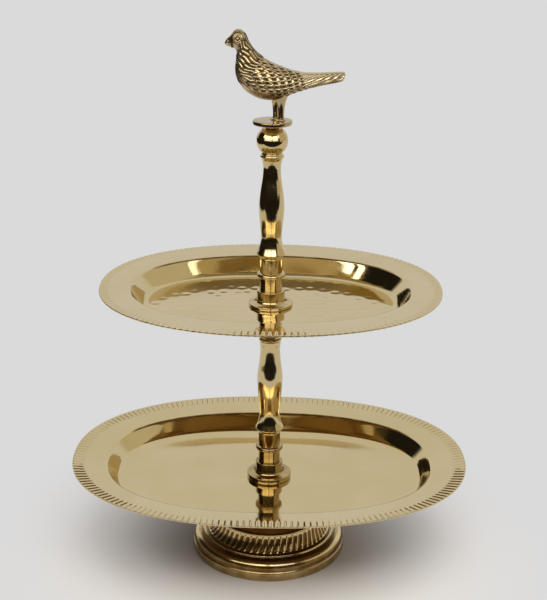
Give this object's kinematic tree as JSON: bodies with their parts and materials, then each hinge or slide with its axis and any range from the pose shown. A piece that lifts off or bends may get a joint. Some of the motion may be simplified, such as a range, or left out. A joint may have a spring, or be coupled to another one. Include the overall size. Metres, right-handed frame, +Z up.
{
  "type": "tiered cake stand",
  "caption": "Tiered serving stand: oval raised trays with reeded rims clamped on a turned column over a round reeded foot, with a bird finial that unscrews.",
  "frame": {"origin": "centre of the circle the foot stands on", "axes": "+Z up along the column, X along the trays' long axis with the bird looking towards -X, Y across the trays"},
  "size_m": [0.3, 0.2228, 0.399],
  "materials": {
    "tray_brass": "pressed sheet brass, polished to a soft mirror, faint buffing marks",
    "turned_brass": "turned and polished brass, mirror bright",
    "cast_brass": "cast brass, polished on its high parts, dark patina left in the reeding",
    "bird_brass": "cast and chased brass, brushed bright on the feathers, darker in the grooves",
    "zinc_steel": "zinc plated steel",
    "fibre": "vulcanised fibre, matt"
  },
  "bodies": {
    "stand": {"foot_casting": "cast_brass", "foot_washer": "zinc_steel", "foot_lock_washer": "zinc_steel", "foot_nut": "zinc_steel", "tie_rod": "zinc_steel", "lower_tray_washer": "fibre", "lower_flange": "turned_brass", "lower_ring_spool": "turned_brass", "lower_baluster": "turned_brass", "lower_ball": "turned_brass", "tray_support_disc": "turned_brass", "upper_tray_washer": "fibre", "upper_flange": "turned_brass", "upper_ring_spool": "turned_brass", "upper_baluster": "turned_brass", "upper_ball": "turned_brass"},
    "lower_tray": {"lower_tray": "tray_brass"},
    "upper_tray": {"upper_tray": "tray_brass"},
    "stud": {"finial_stud": "zinc_steel"},
    "finial": {"finial_disc": "bird_brass", "bird": "bird_brass"}
  },
  "joints": [
    {"name": "lower_tray_turn", "type": "hinge", "parent": "stand", "child": "lower_tray", "pos_m": [0, 0, 0.0583], "axis": [0, 0, 1], "continuous": true},
    {"name": "upper_tray_turn", "type": "hinge", "parent": "stand", "child": "upper_tray", "pos_m": [0, 0, 0.1984], "axis": [0, 0, 1], "continuous": true},
    {"name": "finial_lift", "type": "slide", "parent": "stand", "child": "stud", "axis": [0, 0, 1], "range_m": [0, 0.0075]},
    {"name": "finial_turn", "type": "hinge", "parent": "stud", "child": "finial", "pos_m": [0, 0, 0.3306], "axis": [0, 0, 1], "range_deg": [0, 2700]}
  ],
  "couplings": [
    {"joint": "finial_lift", "follows": "finial_turn", "m_per_rad": 0.00015915}
  ]
}
